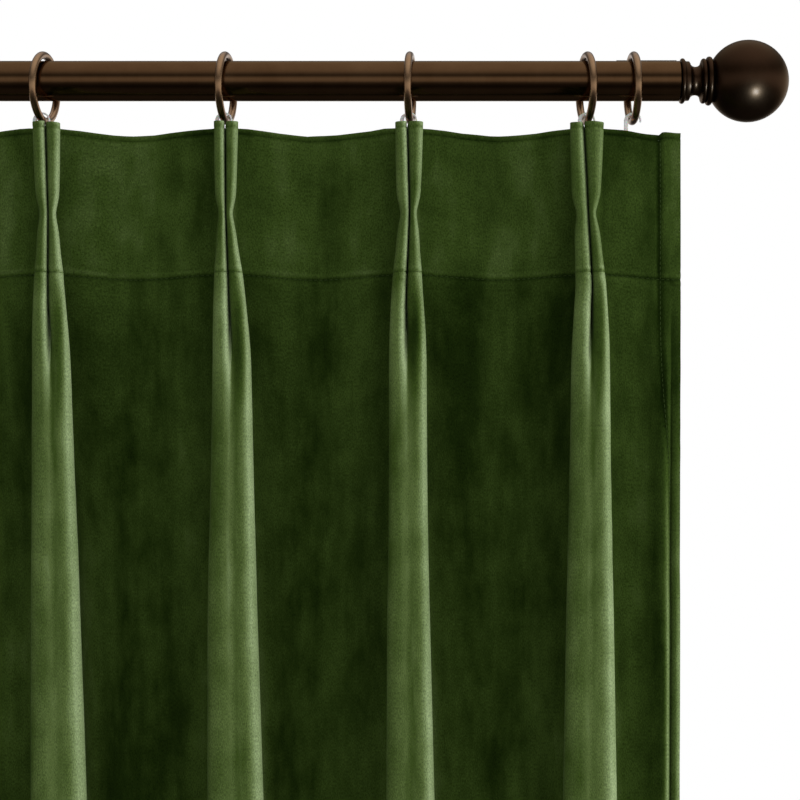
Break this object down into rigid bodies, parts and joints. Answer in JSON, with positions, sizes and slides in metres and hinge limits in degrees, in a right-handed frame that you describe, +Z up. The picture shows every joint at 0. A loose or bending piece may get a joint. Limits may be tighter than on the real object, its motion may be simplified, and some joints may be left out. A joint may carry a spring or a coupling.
{
  "type": "window curtain on a rod",
  "caption": "Pinch-pleated velvet curtain panel hung by rings on a wall-mounted round rod with ball finials; it draws open sideways along the rod.",
  "frame": {"origin": "on the wall plane, midway along the rod and level with its axis; what holds the part up is the wall behind both wall plates", "axes": "+X along the rod toward the fixed edge of the curtain, +Y into the wall, +Z up; the curtain's face looks along -Y"},
  "size_m": [1.422, 0.1178, 2.1965],
  "materials": {
    "rod_bronze": "satin oil-rubbed bronze",
    "bracket_bronze": "satin oil-rubbed bronze",
    "finial_bronze": "semi-gloss dark bronze",
    "ring_bronze": "satin bronze",
    "zinc_steel": "zinc plated",
    "white_plastic": "translucent white",
    "green_velvet": "short pile velvet",
    "buckram": "stiff woven heading strip"
  },
  "bodies": {
    "rod_and_fixed_edge": {"rod_tube": "rod_bronze", "rod_end_plug_left": "zinc_steel", "wall_plate_left": "bracket_bronze", "bracket_arm_left": "bracket_bronze", "bracket_saddle_left": "bracket_bronze", "clamp_nut_left": "zinc_steel", "bracket_stud_left": "zinc_steel", "rod_end_plug_right": "zinc_steel", "wall_plate_right": "bracket_bronze", "bracket_arm_right": "bracket_bronze", "bracket_saddle_right": "bracket_bronze", "clamp_nut_right": "zinc_steel", "bracket_stud_right": "zinc_steel", "ring_12": "ring_bronze", "hook_12": "white_plastic", "curtain_panel": "green_velvet", "buckram_band": "buckram"},
    "carrier_01": {"ring_01": "ring_bronze", "hook_01": "white_plastic"},
    "carrier_02": {"ring_02": "ring_bronze", "hook_02": "white_plastic"},
    "carrier_03": {"ring_03": "ring_bronze", "hook_03": "white_plastic"},
    "carrier_04": {"ring_04": "ring_bronze", "hook_04": "white_plastic"},
    "carrier_05": {"ring_05": "ring_bronze", "hook_05": "white_plastic"},
    "carrier_06": {"ring_06": "ring_bronze", "hook_06": "white_plastic"},
    "carrier_07": {"ring_07": "ring_bronze", "hook_07": "white_plastic"},
    "carrier_08": {"ring_08": "ring_bronze", "hook_08": "white_plastic"},
    "carrier_09": {"ring_09": "ring_bronze", "hook_09": "white_plastic"},
    "carrier_10": {"ring_10": "ring_bronze", "hook_10": "white_plastic"},
    "carrier_11": {"ring_11": "ring_bronze", "hook_11": "white_plastic"},
    "finial_left": {"finial_stud_left": "zinc_steel", "finial_neck_left": "finial_bronze", "finial_ball_left": "finial_bronze"},
    "finial_right": {"finial_stud_right": "zinc_steel", "finial_neck_right": "finial_bronze", "finial_ball_right": "finial_bronze"}
  },
  "joints": [
    {"name": "draw", "type": "slide", "parent": "rod_and_fixed_edge", "child": "carrier_01", "axis": [1, 0, 0], "range_m": [0, 0.7477], "deforming": ["curtain_panel", "buckram_band"]},
    {"name": "ring_02_slide", "type": "slide", "parent": "rod_and_fixed_edge", "child": "carrier_02", "axis": [1, 0, 0], "range_m": [0, 0.7287]},
    {"name": "ring_03_slide", "type": "slide", "parent": "rod_and_fixed_edge", "child": "carrier_03", "axis": [1, 0, 0], "range_m": [0, 0.6499]},
    {"name": "ring_04_slide", "type": "slide", "parent": "rod_and_fixed_edge", "child": "carrier_04", "axis": [1, 0, 0], "range_m": [0, 0.5712]},
    {"name": "ring_05_slide", "type": "slide", "parent": "rod_and_fixed_edge", "child": "carrier_05", "axis": [1, 0, 0], "range_m": [0, 0.4925]},
    {"name": "ring_06_slide", "type": "slide", "parent": "rod_and_fixed_edge", "child": "carrier_06", "axis": [1, 0, 0], "range_m": [0, 0.4137]},
    {"name": "ring_07_slide", "type": "slide", "parent": "rod_and_fixed_edge", "child": "carrier_07", "axis": [1, 0, 0], "range_m": [0, 0.335]},
    {"name": "ring_08_slide", "type": "slide", "parent": "rod_and_fixed_edge", "child": "carrier_08", "axis": [1, 0, 0], "range_m": [0, 0.2562]},
    {"name": "ring_09_slide", "type": "slide", "parent": "rod_and_fixed_edge", "child": "carrier_09", "axis": [1, 0, 0], "range_m": [0, 0.1775]},
    {"name": "ring_10_slide", "type": "slide", "parent": "rod_and_fixed_edge", "child": "carrier_10", "axis": [1, 0, 0], "range_m": [0, 0.0988]},
    {"name": "ring_11_slide", "type": "slide", "parent": "rod_and_fixed_edge", "child": "carrier_11", "axis": [1, 0, 0], "range_m": [0, 0.02]},
    {"name": "finial_left_turn", "type": "hinge", "parent": "rod_and_fixed_edge", "child": "finial_left", "pos_m": [-0.6345, -0.07, 0], "axis": [-1, 0, 0], "continuous": true},
    {"name": "finial_right_turn", "type": "hinge", "parent": "rod_and_fixed_edge", "child": "finial_right", "pos_m": [0.6345, -0.07, 0], "axis": [1, 0, 0], "continuous": true}
  ],
  "couplings": [
    {"joint": "ring_02_slide", "follows": "draw", "ratio": 0.97388},
    {"joint": "ring_03_slide", "follows": "draw", "ratio": 0.86857},
    {"joint": "ring_04_slide", "follows": "draw", "ratio": 0.76327},
    {"joint": "ring_05_slide", "follows": "draw", "ratio": 0.65796},
    {"joint": "ring_06_slide", "follows": "draw", "ratio": 0.55265},
    {"joint": "ring_07_slide", "follows": "draw", "ratio": 0.44735},
    {"joint": "ring_08_slide", "follows": "draw", "ratio": 0.34204},
    {"joint": "ring_09_slide", "follows": "draw", "ratio": 0.23673},
    {"joint": "ring_10_slide", "follows": "draw", "ratio": 0.13143},
    {"joint": "ring_11_slide", "follows": "draw", "ratio": 0.026119}
  ]
}
